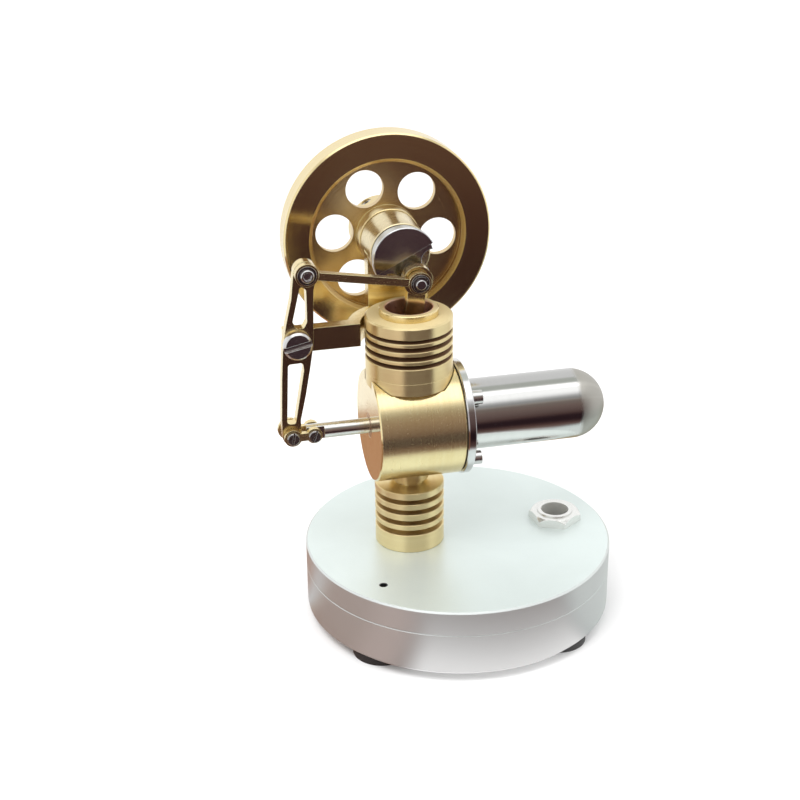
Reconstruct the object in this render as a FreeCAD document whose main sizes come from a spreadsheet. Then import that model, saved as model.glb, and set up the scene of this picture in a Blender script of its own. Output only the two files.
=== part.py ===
import FreeCAD, Part
import Sketcher
import math
import os

# Miniature hot-air (Stirling) engine on a round two-shell tank base.
# Frame: millimetres, +Z up, origin on the ground plane under the middle of
# the base. +X runs along the displacer axis towards the hot cap, and +Y runs
# along the crankshaft towards the flywheel, so -Y is the front.

# Driving dimensions. Heights are measured from the underside of the tank.
DIMS = dict(
    # radial and axial clearances, from tight to free
    fine_fit=0.005, close_fit=0.01, seat_fit=0.02, run_fit=0.04, loose_fit=0.05, free_fit=0.1,
    # base tank
    foot_height=1.5, foot_radius=5.4, foot_pitch=23.2, foot_phase=38.0,
    base_radius=29.0, seam_height=8.10, base_top=12.87,
    tank_wall=1.8, tank_floor=1.4, lid_thick=1.7, base_chamfer=0.55, lid_chamfer=0.32,
    seam_chamfer=0.1, lip_depth=2.9, lip_wall=1.25, lip_fit=0.05,
    ring_groove_low=6.0, ring_groove_high=7.0, ring_groove_depth=0.85, ring_cord=0.42,
    vent_x=-18.06, vent_y=-15.25, vent_radius=0.78,
    # wick fitting
    wick_x=20.0, wick_y=1.1, wick_bore=2.65, wick_tube_radius=3.35,
    wick_tube_below=8.2, wick_tube_above=2.0, wick_nut_corner=5.1, wick_nut_height=1.75,
    wick_nut_chamfer=0.9, wick_flange_radius=4.4, wick_flange_thick=0.9,
    # engine plane and column
    engine_y=1.15, column_x=-9.1, column_radius=6.51, column_core=4.5, column_edge=0.12,
    column_groove_a_low=16.45, column_groove_a_high=17.51,
    column_groove_b_low=18.57, column_groove_b_high=19.53,
    column_groove_c_low=20.79, column_groove_c_high=21.74,
    column_groove_d_low=22.89, column_groove_d_high=23.83,
    column_top=25.18, column_neck=2.9, column_collar=3.6, column_collar_low=25.95,
    column_spigot=2.2, column_spigot_top=30.2, column_seat=27.3,
    column_thread=1.45, column_thread_top=18.5, column_hole_gap=0.5,
    column_screw_head=2.8, column_screw_head_height=1.8, column_slot=0.8, column_slot_depth=0.9,
    # displacer housing, along X
    body_axis=37.23, body_radius=10.48, body_left=-16.65, body_right=-0.65,
    body_bore=6.1, body_wall=2.4, body_edge=0.25,
    cup_floor=45.4, cup_radius=8.15, port_radius=0.9, port_overrun=0.6, spigot_gap=0.3,
    bush_radius=2.3, bush_bore=1.5, gasket_thick=0.12, gasket_radius=10.2,
    flange_right=1.0, flange_radius=10.75, flange_edge=0.2,
    flange_screw_pitch=8.6, flange_screw_radius=0.8, flange_screw_head=1.28,
    flange_screw_head_height=2.05, flange_screw_length=6.0, flange_socket=0.55,
    flange_socket_depth=0.8,
    cap_radius=6.62, cap_wall=0.5, cap_tip=28.69, cap_lip_radius=7.5, cap_lip_thick=0.45,
    # displacer and rod
    displacer_wall=0.4, displacer_radius=5.7, displacer_left=-10.7, displacer_right=16.8,
    displacer_end_wall=0.9, displacer_boss_wall=1.2, displacer_boss_beyond=0.3,
    rod_radius=1.45, rod_left=-28.5, rod_round_left=-25.2, rod_inner=-4.7, rod_edge=0.3,
    tongue_thick=1.7,
    # power cylinder, liner and piston
    cylinder_x=-8.95, cylinder_radius=8.0, cylinder_core=6.1, cylinder_top=58.5, fin_edge=0.08,
    fin_groove_a_low=50.63, fin_groove_a_high=51.49,
    fin_groove_b_low=52.16, fin_groove_b_high=53.12,
    fin_groove_c_low=53.88, fin_groove_c_high=54.83,
    fin_groove_d_low=55.50, fin_groove_d_high=56.26,
    cylinder_low_edge=0.2, cylinder_top_edge=0.3, scribe_height=47.85, scribe_depth=0.06,
    liner_radius=5.4, liner_bore=4.25, liner_top=59.8, liner_edge=0.15, liner_bore_edge=0.12,
    piston_radius=4.2, piston_below=3.0, piston_above=2.6, piston_cavity=3.3, piston_floor=0.7,
    piston_edge=0.15, wrist_radius=0.6, wrist_length=7.8,
    # crank train
    shaft_height=67.83, throw=3.4, crank_phase=-63.0, conrod_length=15.5,
    shaft_radius=1.5, shaft_front=4.6, shaft_back=24.6, shaft_edge=0.3,
    crank_disc_radius=5.5, moon_radius=5.9, crank_disc_front=4.5, crank_disc_back=6.6,
    moon_front=3.5, crank_disc_edge=0.15,
    moon_offset=0.05, scallop_radius=2.05, scallop_side=4.37, scallop_along=3.17,
    pin_radius=0.95, pin_front=-2.3, pin_groove_depth=0.2, pin_groove_back=0.72,
    pin_groove_front=0.42, pin_edge=0.12,
    spacer_radius=1.3, spacer_gap=0.28, shim_radius=1.45, shim_thick=0.16, shim_offset=0.24,
    clip_radius=1.45, clip_thick=0.26, clip_offset=0.70, clip_bite=0.19,
    conrod_front=0.35, conrod_thick=1.6, big_end_radius=2.7, big_end_bore=1.5, big_end_proud=0.2,
    small_end_radius=1.7, small_end_bore=1.15, conrod_width=3.3,
    bearing_front_y=7.1, bearing_back_y=15.2, bearing_case_radius=5.6, bearing_case_edge=0.15,
    race_outer=4.0, race_outer_bore=3.2, race_inner=2.2, race_width=3.0, race_inset=0.1,
    ball_radius=0.47,
    # bracket
    arm_low=52.5, arm_high=56.85, arm_front=2.4, arm_back=4.85, arm_left=-31.6,
    saddle_inner=8.75, saddle_outer=11.1, boss_half=3.2, boss_sunk=0.9, boss_short=0.6,
    upright_front=9.4, upright_back=12.26, upright_half=5.6,
    bracket_screw_height=54.7, bracket_screw_side=2.2, bracket_screw_radius=0.8,
    bracket_screw_head=1.5, bracket_screw_head_height=1.2, bracket_screw_length=5.0,
    bracket_socket=0.75, bracket_socket_depth=0.7,
    # flywheel
    wheel_radius=19.72, wheel_front=16.54, wheel_back=21.37, wheel_recess=14.95,
    wheel_recess_chamfer=0.7, wheel_recess_depth=1.8, wheel_rear_depth=1.7, wheel_edge=0.3,
    wheel_boss=5.8, wheel_boss_front=15.45, wheel_boss_edge=0.15,
    wheel_hub=6.0, wheel_hub_back=24.4, wheel_hub_edge=0.25,
    wheel_hole_radius=3.57, wheel_hole_pitch=9.9, wheel_hole_phase=-6.34, wheel_bore=1.54,
    grub_y=22.9, grub_radius=1.0, grub_angle=118.0, grub_cone=0.35, grub_sunk=0.25,
    grub_socket=0.5, grub_socket_depth=1.0,
    # link and rocker
    pivot_x=-29.65, pivot_z=55.05, top_x=-27.67, top_z=68.20,
    low_x=-31.13, low_z=37.15, rod_pin_x=-27.19,
    link_front=-1.5, link_thick=1.4, link_bar=1.4, link_bar_inset=0.05, link_eye=2.1,
    link_eye_bore=1.7, link_ring_bore=0.95, link_ring_proud=0.12, link_pin_ring_proud=0.05,
    rocker_front=0.15, rocker_thick=2.0, rocker_top_radius=2.1, rocker_low_radius=1.75,
    rocker_pivot_bore=1.25, pivot_shank=0.9, pivot_shoulder=1.2, pivot_head=2.6,
    pivot_head_gap=0.03, pivot_head_back_edge=0.25, pivot_head_edge=0.35,
    pivot_head_front=-1.5, pivot_hole=0.91, pivot_washer=2.2,
    pivot_slot=0.95, pivot_slot_depth=0.55, pivot_slot_angle=12.0,
    top_screw_radius=0.5, top_screw_head=1.2, top_screw_front=-2.15,
    top_socket=0.8, top_socket_depth=0.4,
    bone_thick=1.0, bone_front_y=-0.95, bone_rear_y=2.25, bone_left_eye=1.6,
    bone_right_eye=1.45, bone_waist=1.5, bone_low_bore=0.65, bone_rod_bore=0.8,
    bone_pin_radius=0.6, bone_head=1.2, bone_head_front=-1.55, bone_slot=0.32,
    bone_slot_depth=0.28, bone_nut=1.2, bone_nut_thick=0.6, bone_nut_inset=0.1,
    bone_round_nut=2.15, bone_round_nut_thick=0.7, bone_nut_back=4.05,
)

THROUGH = None      # pocket depth that cuts all the way
CLEAR = 5           # sketch offset that lies outside a small piece
FAR = 20            # sketch offset that lies outside the bracket or flywheel

doc = FreeCAD.newDocument("stirling_engine")


# ------------------------------------------------------- driven values
class Driven:
    """A number that knows its value and the sheet formula it came from."""

    def __init__(self, value, text):
        self.value = float(value)
        self.text = text

    def __add__(self, other):
        other = driven(other)
        return Driven(self.value + other.value, "(%s + %s)" % (self.text, other.text))

    def __radd__(self, other):
        return driven(other) + self

    def __sub__(self, other):
        other = driven(other)
        return Driven(self.value - other.value, "(%s - %s)" % (self.text, other.text))

    def __rsub__(self, other):
        return driven(other) - self

    def __mul__(self, other):
        other = driven(other)
        return Driven(self.value * other.value, "(%s * %s)" % (self.text, other.text))

    def __rmul__(self, other):
        return driven(other) * self

    def __truediv__(self, other):
        other = driven(other)
        return Driven(self.value / other.value, "(%s / %s)" % (self.text, other.text))

    def __neg__(self):
        return Driven(-self.value, "(0 - %s)" % self.text)


def driven(number):
    if isinstance(number, Driven):
        return number
    size = repr(round(abs(float(number)), 6))
    return Driven(number, size if number >= 0 else "(0 - %s)" % size)


def cosine(angle):
    angle = driven(angle)
    return Driven(math.cos(math.radians(angle.value)), "cos(%s * 1 deg)" % angle.text)


def sine(angle):
    angle = driven(angle)
    return Driven(math.sin(math.radians(angle.value)), "sin(%s * 1 deg)" % angle.text)


def root(square):
    return Driven(math.sqrt(square.value), "sqrt(%s)" % square.text)


def heading(across, rise):
    """Angle in degrees from +X towards +Z."""
    return math.degrees(math.atan2(rise.value, across.value))


class dim:
    """Holds one driven value for each alias in the sheet."""


sheet = doc.addObject("Spreadsheet::Sheet", "params")
sheet.Label = "params"
for row, (alias, number) in enumerate(DIMS.items(), start=1):
    sheet.set("A%d" % row, alias)
    sheet.set("B%d" % row, repr(float(number)))
    sheet.setAlias("B%d" % row, alias)
    setattr(dim, alias, Driven(number, "params.%s" % alias))
doc.recompute()

# -------------------------------------------------------------- bodies
bodies = []         # in the order they are written
FACE_FRONT = FreeCAD.Rotation(FreeCAD.Vector(1, 0, 0), 90)   # local x, y, z -> X, Z, -Y
FACE_HOT = FreeCAD.Rotation(FreeCAD.Vector(0, 1, 0), 90)     # local z -> X, local x -> -Z


def new_body(name, x, y, z, rotation=FreeCAD.Rotation()):
    """Body with its origin at x, y and at height z above the tank's underside."""
    body = doc.addObject("PartDesign::Body", name)
    body.Label = name
    body.AllowCompound = True
    base = [driven(x), driven(y), dim.foot_height + z]
    body.Placement = FreeCAD.Placement(FreeCAD.Vector(*[c.value for c in base]), rotation)
    for axis, coordinate in zip("xyz", base):
        body.setExpression("Placement.Base.%s" % axis, coordinate.text)
    bodies.append(body)
    return body


def along_x(name, x):
    """Body on the displacer axis, local z towards the hot cap."""
    return new_body(name, x, dim.engine_y, dim.body_axis, FACE_HOT)


def on_cylinder(name, z):
    """Upright body on the power cylinder's axis."""
    return new_body(name, dim.cylinder_x, dim.engine_y, z)


def facing(name, x, y, z, turn=0.0):
    """Body with local z to the front and local x turned from +X towards +Z."""
    rotation = FreeCAD.Rotation(FreeCAD.Vector(0, 1, 0), -turn).multiply(FACE_FRONT)
    return new_body(name, x, y, z, rotation)


def on_shaft(name, y, turn=0.0):
    return facing(name, dim.cylinder_x, y, dim.shaft_height, turn)


# ------------------------------------------------------------ outlines
# Each outline is a function that draws itself, fully dimensioned, in a sketch.
def drive(sketch, kind, place, size):
    """Add a driving dimension bound to the sheet."""
    index = sketch.addConstraint(Sketcher.Constraint(kind, *place, size.value))
    sketch.setExpression("Constraints[%d]" % index, size.text)


def pin_point(sketch, geo, pos, x, y):
    for kind, axis, offset in (("DistanceX", -2, driven(x)), ("DistanceY", -1, driven(y))):
        if abs(offset.value) < 1e-9:
            sketch.addConstraint(Sketcher.Constraint("PointOnObject", geo, pos, axis))
        else:
            drive(sketch, kind, (geo, pos), offset)


def add_line(sketch, start, end):
    ends = [FreeCAD.Vector(driven(x).value, driven(y).value, 0) for x, y in (start, end)]
    return sketch.addGeometry(Part.LineSegment(*ends), False)


def add_arc(sketch, x, y, radius, start, end):
    whole = Part.Circle(FreeCAD.Vector(driven(x).value, y.value, 0),
                        FreeCAD.Vector(0, 0, 1), radius.value)
    return sketch.addGeometry(Part.ArcOfCircle(whole, start, end), False)


def polygon(points):
    def draw(sketch):
        following = points[1:] + points[:1]
        ids = [add_line(sketch, *ends) for ends in zip(points, following)]
        for line, after in zip(ids, ids[1:] + ids[:1]):
            sketch.addConstraint(Sketcher.Constraint("Coincident", line, 2, after, 1))
        for line, (x, y) in zip(ids, points):
            pin_point(sketch, line, 1, x, y)
    return draw


def rectangle(x1, y1, x2, y2):
    return polygon([(x1, y1), (x2, y1), (x2, y2), (x1, y2)])


def circle(x, y, radius):
    x, y, radius = driven(x), driven(y), driven(radius)

    def draw(sketch):
        whole = Part.Circle(FreeCAD.Vector(x.value, y.value, 0),
                            FreeCAD.Vector(0, 0, 1), radius.value)
        geo = sketch.addGeometry(whole, False)
        drive(sketch, "Radius", (geo,), radius)
        pin_point(sketch, geo, 3, x, y)
    return draw


def hexagon(radius, phase=0.0, x=0.0, y=0.0):
    angles = [math.radians(phase + 60 * k) for k in range(6)]
    return polygon([(x + radius * math.cos(a), y + radius * math.sin(a)) for a in angles])


def slot(half_length, half_width, angle=0.0):
    """Rectangle about the origin, turned by an angle."""
    ca, sa = cosine(angle), sine(angle)
    corners = [(-half_length, -half_width), (half_length, -half_width),
               (half_length, half_width), (-half_length, half_width)]
    return polygon([(x * ca - y * sa, x * sa + y * ca) for x, y in corners])


def rounded(points, radius, steps=5):
    """The same closed outline with each corner replaced by a short arc."""
    outline = []
    for i, (x, y) in enumerate(points):
        x0, y0 = points[i - 1]
        x2, y2 = points[(i + 1) % len(points)]
        back, ahead = math.hypot(x0 - x, y0 - y), math.hypot(x2 - x, y2 - y)
        back_x, back_y = (x0 - x) / back, (y0 - y) / back
        ahead_x, ahead_y = (x2 - x) / ahead, (y2 - y) / ahead
        cosine_between = back_x * ahead_x + back_y * ahead_y
        half = math.acos(max(-1.0, min(1.0, cosine_between))) / 2
        trim = min(radius / math.tan(half), 0.45 * back, 0.45 * ahead)
        arc_radius = trim * math.tan(half)
        mid_x, mid_y = back_x + ahead_x, back_y + ahead_y
        reach = arc_radius / math.sin(half) / math.hypot(mid_x, mid_y)
        centre_x, centre_y = x + mid_x * reach, y + mid_y * reach
        start = math.atan2(y + back_y * trim - centre_y, x + back_x * trim - centre_x)
        end = math.atan2(y + ahead_y * trim - centre_y, x + ahead_x * trim - centre_x)
        sweep = (end - start + math.pi) % (2 * math.pi) - math.pi
        for k in range(steps + 1):
            angle = start + sweep * k / steps
            outline.append((round(centre_x + arc_radius * math.cos(angle), 4),
                            round(centre_y + arc_radius * math.sin(angle), 4)))
    return outline


def grooved_edge(prefix, radius, core, edge):
    """(r, z) points down into and out of four grooves with bevelled rims."""
    points = []
    for letter in "abcd":
        low = getattr(dim, "%s_groove_%s_low" % (prefix, letter))
        high = getattr(dim, "%s_groove_%s_high" % (prefix, letter))
        points += [(radius, low - edge), (radius - edge, low), (core, low),
                   (core, high), (radius - edge, high), (radius, high + edge)]
    return points


# ------------------------------------------------------------ features
def origin_feature(body, role):
    return next(f for f in body.Origin.OriginFeatures if f.Role == role)


def new_sketch(body, outlines, role="XY_Plane", lift=None):
    sketch = body.newObject("Sketcher::SketchObject", body.Name + "_sketch")
    sketch.AttachmentSupport = [(origin_feature(body, role), "")]
    sketch.MapMode = "FlatFace"
    if lift is not None:
        lift = driven(lift)
        offset = FreeCAD.Vector(0, 0, lift.value)
        sketch.AttachmentOffset = FreeCAD.Placement(offset, FreeCAD.Rotation())
        sketch.setExpression("AttachmentOffset.Base.z", lift.text)
    for draw in outlines:
        draw(sketch)
    return sketch


def revolve(body, name, outline, axis="V_Axis", kind="Revolution"):
    """Full turn of an outline in the body's XZ plane."""
    sketch = new_sketch(body, [outline], "XZ_Plane")
    feature = body.newObject("PartDesign::" + kind, name)
    feature.Profile = sketch
    feature.ReferenceAxis = (sketch, [axis])
    feature.Angle = 360.0
    body.Tip = feature
    return feature


def turned(body, points):
    """Revolve an (r, z) outline round the body's own Z axis."""
    revolve(body, body.Name + "_turned", polygon(points))


def extruded(body, kind, sketch, length, reverse):
    feature = body.newObject("PartDesign::" + kind, "%s_%s" % (body.Name, kind.lower()))
    feature.Profile = sketch
    if length is THROUGH:
        feature.Type = "ThroughAll"
    else:
        length = driven(length)
        feature.Length = length.value
        feature.setExpression("Length", length.text)
    feature.Reversed = reverse
    body.Tip = feature
    return feature


def pad(body, length, *outlines, role="XY_Plane", lift=None, reverse=False):
    """Extrude along the sketch normal, or against it when reversed."""
    return extruded(body, "Pad", new_sketch(body, outlines, role, lift), length, reverse)


def pocket(body, depth, *outlines, role="XY_Plane", lift=None, reverse=False):
    """Cut against the sketch normal, or along it when reversed."""
    before = body.Tip
    feature = extruded(body, "Pocket", new_sketch(body, outlines, role, lift), depth, reverse)
    doc.recompute()
    if not feature.Shape.Volume < before.Shape.Volume - 1e-4:
        raise RuntimeError("a pocket in %s removes nothing" % body.Label)
    return feature


def ring(body, length, outer, inner, lift=None):
    pad(body, length, circle(0, 0, outer), circle(0, 0, inner), lift=lift)


def polar(body, features, count):
    feature = body.newObject("PartDesign::PolarPattern", body.Name + "_polar")
    feature.Originals = features
    feature.Axis = (origin_feature(body, "Z_Axis"), [""])
    feature.Angle = 360.0
    feature.Occurrences = count
    body.Tip = feature


def headed_pin(body, radius, head, length, head_height, edge):
    turned(body, [
        (0, 0), (radius, 0), (radius, length - head_height), (head, length - head_height),
        (head, length - edge), (head - edge, length), (0, length)])


# ----------------------------------------------------------- base tank
feet = new_body("rubber_feet", 0, 0, -dim.foot_height)
foot = pad(feet, dim.foot_height, circle(
    dim.foot_pitch * cosine(dim.foot_phase), dim.foot_pitch * sine(dim.foot_phase),
    dim.foot_radius))
polar(feet, [foot], 4)

lower = new_body("tank_lower_shell", 0, 0, 0)
tank_bore = dim.base_radius - dim.tank_wall
turned(lower, [
    (0, 0), (dim.base_radius - dim.base_chamfer, 0), (dim.base_radius, dim.base_chamfer),
    (dim.base_radius, dim.seam_height - dim.seam_chamfer),
    (dim.base_radius - dim.seam_chamfer, dim.seam_height),
    (tank_bore, dim.seam_height), (tank_bore, dim.tank_floor), (0, dim.tank_floor)])

lid = new_body("tank_upper_shell", 0, 0, 0)
lip_outer = tank_bore - dim.lip_fit
lip_inner = lip_outer - dim.lip_wall
lip_low = dim.seam_height - dim.lip_depth
groove_floor = lip_outer - dim.ring_groove_depth
ceiling = dim.base_top - dim.lid_thick
turned(lid, [
    (0, ceiling), (lip_inner, ceiling), (lip_inner, lip_low), (lip_outer, lip_low),
    (lip_outer, dim.ring_groove_low), (groove_floor, dim.ring_groove_low),
    (groove_floor, dim.ring_groove_high), (lip_outer, dim.ring_groove_high),
    (lip_outer, dim.seam_height), (dim.base_radius - dim.seam_chamfer, dim.seam_height),
    (dim.base_radius, dim.seam_height + dim.seam_chamfer),
    (dim.base_radius, dim.base_top - dim.lid_chamfer),
    (dim.base_radius - dim.lid_chamfer, dim.base_top), (0, dim.base_top)])
# filler vent, wick hole and the hole for the column screw
pocket(lid, THROUGH, circle(dim.vent_x, dim.vent_y, dim.vent_radius),
       circle(dim.wick_x, dim.wick_y, dim.wick_tube_radius + dim.seat_fit),
       circle(dim.column_x, dim.engine_y, dim.column_thread + dim.free_fit), reverse=True)

oring = new_body("tank_o_ring", 0, 0, (dim.ring_groove_low + dim.ring_groove_high) / 2)
revolve(oring, "tank_o_ring_turned",
        circle(tank_bore - dim.ring_cord - dim.seat_fit, 0, dim.ring_cord))

# -------------------------------------------------------- wick fitting
tube = new_body("wick_tube", dim.wick_x, dim.wick_y, dim.base_top)
flange_low = -dim.lid_thick - dim.wick_flange_thick
turned(tube, [
    (dim.wick_bore, -dim.wick_tube_below), (dim.wick_tube_radius, -dim.wick_tube_below),
    (dim.wick_tube_radius, flange_low), (dim.wick_flange_radius, flange_low),
    (dim.wick_flange_radius, -dim.lid_thick), (dim.wick_tube_radius, -dim.lid_thick),
    (dim.wick_tube_radius, dim.wick_tube_above), (dim.wick_bore, dim.wick_tube_above)])

nut = new_body("wick_nut", dim.wick_x, dim.wick_y, dim.base_top)
pad(nut, dim.wick_nut_height, hexagon(dim.wick_nut_corner, 35.0),
    circle(0, 0, dim.wick_tube_radius + dim.close_fit))
# turned chamfer on the corners of the nut's top; the cutter overhangs the nut
cut_inner = dim.wick_nut_corner * 0.87
cut_outer = dim.wick_nut_corner + 0.6
cut_top = dim.wick_nut_height + 0.2
revolve(nut, "wick_nut_chamfer", polygon([
    (cut_outer, cut_top), (cut_inner, cut_top), (cut_inner, dim.wick_nut_height),
    (cut_outer, dim.wick_nut_height - dim.wick_nut_chamfer * 1.6)]), kind="Groove")

# ------------------------------------------------------- finned column
column_screw = new_body("column_screw", dim.column_x, dim.engine_y, 0)
head_low = ceiling - dim.column_screw_head_height
head_edge, tip_edge = 0.4, 0.3
turned(column_screw, [
    (0, head_low), (dim.column_screw_head - head_edge, head_low),
    (dim.column_screw_head, head_low + head_edge), (dim.column_screw_head, ceiling),
    (dim.column_thread, ceiling), (dim.column_thread, dim.column_thread_top - tip_edge),
    (dim.column_thread - tip_edge, dim.column_thread_top), (0, dim.column_thread_top)])
pocket(column_screw, dim.column_slot_depth, slot(3.2, dim.column_slot / 2),
       lift=head_low, reverse=True)

column = new_body("finned_column", dim.column_x, dim.engine_y, 0)
column_edge = dim.column_edge
thread_bore = dim.column_thread + dim.close_fit
hole_top = dim.column_thread_top + dim.column_hole_gap
turned(column, [
    (thread_bore, dim.base_top), (dim.column_radius - column_edge, dim.base_top),
    (dim.column_radius, dim.base_top + column_edge),
    *grooved_edge("column", dim.column_radius, dim.column_core, column_edge),
    (dim.column_radius, dim.column_top - column_edge),
    (dim.column_radius - column_edge, dim.column_top), (dim.column_neck, dim.column_top),
    (dim.column_neck, dim.column_collar_low), (dim.column_collar, dim.column_collar_low),
    (dim.column_collar, dim.column_seat), (dim.column_spigot, dim.column_seat),
    (dim.column_spigot, dim.column_spigot_top), (0, dim.column_spigot_top),
    (0, hole_top), (thread_bore, hole_top)])

# --------------------------------------------------- displacer housing
screw_at = dim.flange_screw_pitch * cosine(45.0)


def four_holes(body, depth, radius, lift):
    """Holes on the flange screw circle."""
    hole = pocket(body, depth, circle(screw_at, screw_at, radius), lift=lift)
    polar(body, [hole], 4)


house = along_x("displacer_housing", dim.body_left)
house_length = dim.body_right - dim.body_left
turned(house, [
    (dim.bush_radius, 0), (dim.body_radius - dim.body_edge, 0), (dim.body_radius, dim.body_edge),
    (dim.body_radius, house_length - dim.body_edge),
    (dim.body_radius - dim.body_edge, house_length), (dim.body_bore, house_length),
    (dim.body_bore, dim.body_wall), (dim.bush_radius, dim.body_wall)])
cylinder_at = dim.cylinder_x - dim.body_left
column_at = dim.column_x - dim.body_left
start = 12          # the cuts begin this far above or below the axis
# seat for the power cylinder and the transfer port, cut down from the top
for end, radius in ((dim.cup_floor - dim.body_axis, dim.cup_radius),
                    (dim.body_bore - dim.port_overrun, dim.port_radius)):
    pocket(house, start - end, circle(0, cylinder_at, radius),
           role="YZ_Plane", lift=-start, reverse=True)
# counterbore and hole for the column, cut up from below
for end, radius in (
        (dim.body_axis - dim.column_seat, dim.column_collar + dim.seat_fit),
        (dim.body_axis - dim.column_spigot_top - dim.spigot_gap,
         dim.column_spigot + dim.close_fit)):
    pocket(house, start - end, circle(0, column_at, radius), role="YZ_Plane", lift=start)
# tapped holes in the hot end face
four_holes(house, dim.flange_screw_length - 1.0,
           dim.flange_screw_radius + dim.close_fit, house_length)

bush = along_x("rod_bush", dim.body_left)
turned(bush, [(dim.bush_bore, 0), (dim.bush_radius, 0),
              (dim.bush_radius, dim.body_wall), (dim.bush_bore, dim.body_wall)])

gasket = along_x("head_gasket", dim.body_right)
gasket_bore = dim.cap_lip_radius + dim.free_fit
turned(gasket, [(gasket_bore, 0), (dim.gasket_radius, 0),
                (dim.gasket_radius, dim.gasket_thick), (gasket_bore, dim.gasket_thick)])
four_holes(gasket, THROUGH, dim.flange_screw_radius + dim.free_fit, dim.gasket_thick)

seal_face = dim.body_right + dim.gasket_thick
clamp = along_x("clamp_flange", seal_face)
clamp_thick = dim.flange_right - seal_face
clamp_bore = dim.cap_radius + dim.loose_fit
lip_bore = dim.cap_lip_radius + dim.loose_fit
lip_seat = dim.cap_lip_thick + dim.seat_fit - dim.gasket_thick
turned(clamp, [
    (lip_bore, 0), (dim.flange_radius - dim.flange_edge, 0), (dim.flange_radius, dim.flange_edge),
    (dim.flange_radius, clamp_thick - dim.flange_edge),
    (dim.flange_radius - dim.flange_edge, clamp_thick), (clamp_bore, clamp_thick),
    (clamp_bore, lip_seat), (lip_bore, lip_seat)])
four_holes(clamp, THROUGH, dim.flange_screw_radius + dim.free_fit, clamp_thick)


def cap_outline(sketch):
    """Half section of the hot cap: lip, straight wall and quarter-round end."""
    outer, inner = dim.cap_radius, dim.cap_radius - dim.cap_wall
    centre = dim.cap_tip - dim.body_right - dim.cap_radius
    corners = [(inner, 0), (dim.cap_lip_radius, 0), (dim.cap_lip_radius, dim.cap_lip_thick),
               (outer, dim.cap_lip_thick), (outer, centre)]
    lines = [add_line(sketch, *ends) for ends in zip(corners, corners[1:])]
    outer_arc = add_arc(sketch, 0, centre, outer, 0, math.pi / 2)
    tip_line = add_line(sketch, (0, centre + outer), (0, centre + inner))
    inner_arc = add_arc(sketch, 0, centre, inner, 0, math.pi / 2)
    bore_line = add_line(sketch, (inner, centre), (inner, 0))
    for rule in (
            ("Coincident", lines[0], 2, lines[1], 1), ("Coincident", lines[1], 2, lines[2], 1),
            ("Coincident", lines[2], 2, lines[3], 1), ("Coincident", lines[3], 2, outer_arc, 1),
            ("Coincident", outer_arc, 2, tip_line, 1), ("Coincident", tip_line, 2, inner_arc, 2),
            ("Coincident", inner_arc, 1, bore_line, 1), ("Coincident", bore_line, 2, lines[0], 1),
            ("Coincident", outer_arc, 3, inner_arc, 3),
            ("Vertical", tip_line), ("Vertical", lines[3]), ("Vertical", bore_line)):
        sketch.addConstraint(Sketcher.Constraint(*rule))
    pin_point(sketch, outer_arc, 3, 0, centre)
    drive(sketch, "Radius", (outer_arc,), outer)
    for line, (x, y) in zip(lines[:3], corners):
        pin_point(sketch, line, 1, x, y)
    drive(sketch, "DistanceY", (lines[3], 1), dim.cap_lip_thick)
    for rule in (("Horizontal", outer_arc, 1, outer_arc, 3),
                 ("Horizontal", inner_arc, 1, inner_arc, 3),
                 ("PointOnObject", outer_arc, 2, -2)):
        sketch.addConstraint(Sketcher.Constraint(*rule))


cap = along_x("hot_cap", dim.body_right)
revolve(cap, "hot_cap_turned", cap_outline)

flange_screws = along_x("flange_screws", dim.flange_right)
head = pad(flange_screws, dim.flange_screw_head_height,
           circle(screw_at, screw_at, dim.flange_screw_head))
shank = pad(flange_screws, dim.flange_screw_length,
            circle(screw_at, screw_at, dim.flange_screw_radius), reverse=True)
socket = pocket(flange_screws, dim.flange_socket_depth,
                hexagon(dim.flange_socket, 0.0, screw_at, screw_at),
                lift=dim.flange_screw_head_height)
polar(flange_screws, [head, shank, socket], 4)

# ----------------------------------------------- displacer and its rod
displacer = along_x("displacer", dim.displacer_left)
length = dim.displacer_right - dim.displacer_left
radius, wall = dim.displacer_radius, dim.displacer_wall
left_edge = 0.4
rod_bore = dim.rod_radius + dim.close_fit
boss_radius = dim.rod_radius + dim.displacer_boss_wall
boss_end = dim.rod_inner - dim.displacer_left + dim.displacer_boss_beyond
turned(displacer, [
    (rod_bore, 0), (radius - left_edge, 0), (radius, left_edge),
    # faceted nose, outside then inside
    (radius, length - 1.6), (radius - 0.7, length - 0.45), (radius - 2.0, length), (0, length),
    (0, length - wall), (radius - 2.2, length - wall), (radius - 1.05, length - wall - 0.45),
    (radius - wall, length - 1.75),
    # inside of the left end and the boss round the rod
    (radius - wall, dim.displacer_end_wall), (boss_radius, dim.displacer_end_wall),
    (boss_radius, boss_end), (rod_bore, boss_end)])

rod = along_x("displacer_rod", dim.rod_left)
length = dim.rod_inner - dim.rod_left
turned(rod, [(0, 0), (dim.rod_radius, 0), (dim.rod_radius, length - dim.rod_edge),
             (dim.rod_radius - dim.rod_edge, length), (0, length)])
# flats on both sides of the left end leave an upright tongue with a pin hole
half = dim.tongue_thick / 2
pocket(rod, dim.rod_round_left - dim.rod_left,
       rectangle(-3, half, 3, 3), rectangle(-3, -3, 3, -half), reverse=True)
pocket(rod, THROUGH,
       circle(0, dim.rod_pin_x - dim.rod_left, dim.bone_pin_radius + dim.close_fit),
       role="XZ_Plane", lift=CLEAR)


# -------------------------------------- power cylinder, liner and piston
def screw_pair(radius, height):
    """Two circles at the bracket screws."""
    return [circle(dim.bracket_screw_side, height, radius),
            circle(-dim.bracket_screw_side, height, radius)]


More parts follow.
